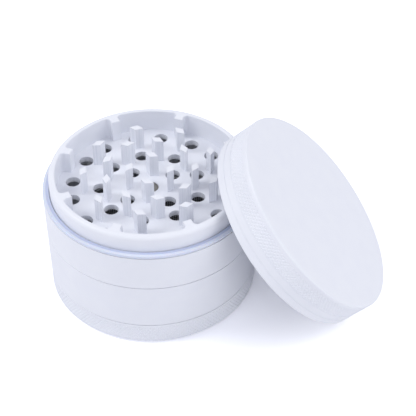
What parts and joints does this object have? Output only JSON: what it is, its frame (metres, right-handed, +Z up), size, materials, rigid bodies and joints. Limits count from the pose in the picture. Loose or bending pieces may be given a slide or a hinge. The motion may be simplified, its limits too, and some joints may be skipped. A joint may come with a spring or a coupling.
{
  "type": "herb grinder",
  "caption": "Round white metal herb grinder of stacked screw-together chambers with a toothed plate, sieve and collector cup, its lid taken off and leaning on the side.",
  "frame": {"origin": "centre of the collector cup's flat base, on the table", "axes": "+Z up along the axis of the stacked chambers, +X towards the lid that leans on the side"},
  "size_m": [0.1018, 0.0699, 0.0535],
  "materials": {
    "white_coated_aluminium": "matt white ceramic-style coat on turned aluminium",
    "stainless_mesh": "plain woven wire",
    "bare_aluminium": "satin turned",
    "nickel_plate": "nickel plated",
    "nylon": "milky translucent"
  },
  "bodies": {
    "collector": {"collector_cup": "white_coated_aluminium"},
    "sieve_frame": {"sieve_ring": "bare_aluminium"},
    "storage": {"storage_chamber": "white_coated_aluminium", "sieve_mesh": "stainless_mesh"},
    "slip_washer": {"slip_ring": "nylon"},
    "grinding": {"grinding_chamber": "white_coated_aluminium", "plate_magnet": "nickel_plate"},
    "lid_core": {"lid_magnet": "nickel_plate"},
    "lid": {"lid_cap": "white_coated_aluminium"}
  },
  "joints": [
    {"name": "storage_rise", "type": "slide", "parent": "collector", "child": "sieve_frame", "axis": [0, 0, 1], "range_m": [0, 0.00501]},
    {"name": "storage_unscrew", "type": "hinge", "parent": "sieve_frame", "child": "storage", "pos_m": [0, 0, 0], "axis": [0, 0, 1], "range_deg": [0, 720]},
    {"name": "chamber_rise", "type": "slide", "parent": "storage", "child": "slip_washer", "axis": [0, 0, 1], "range_m": [0, 0.00501]},
    {"name": "chamber_unscrew", "type": "hinge", "parent": "slip_washer", "child": "grinding", "pos_m": [0, 0, 0], "axis": [0, 0, 1], "range_deg": [0, 720]},
    {"name": "lid_carry", "type": "hinge", "parent": "grinding", "child": "lid_core", "pos_m": [-0.05043, 0.00163, 0.00649], "axis": [-0.0204, -0.9956, 0.0911], "range_deg": [0, 47.18]},
    {"name": "lid_turn", "type": "hinge", "parent": "lid_core", "child": "lid", "pos_m": [0.04102, -0.00649, 0.02323], "axis": [0.7297, -0.044, 0.6824], "continuous": true}
  ],
  "couplings": [
    {"joint": "storage_rise", "follows": "storage_unscrew", "m_per_rad": 0.00039789},
    {"joint": "chamber_rise", "follows": "chamber_unscrew", "m_per_rad": 0.00039789}
  ]
}
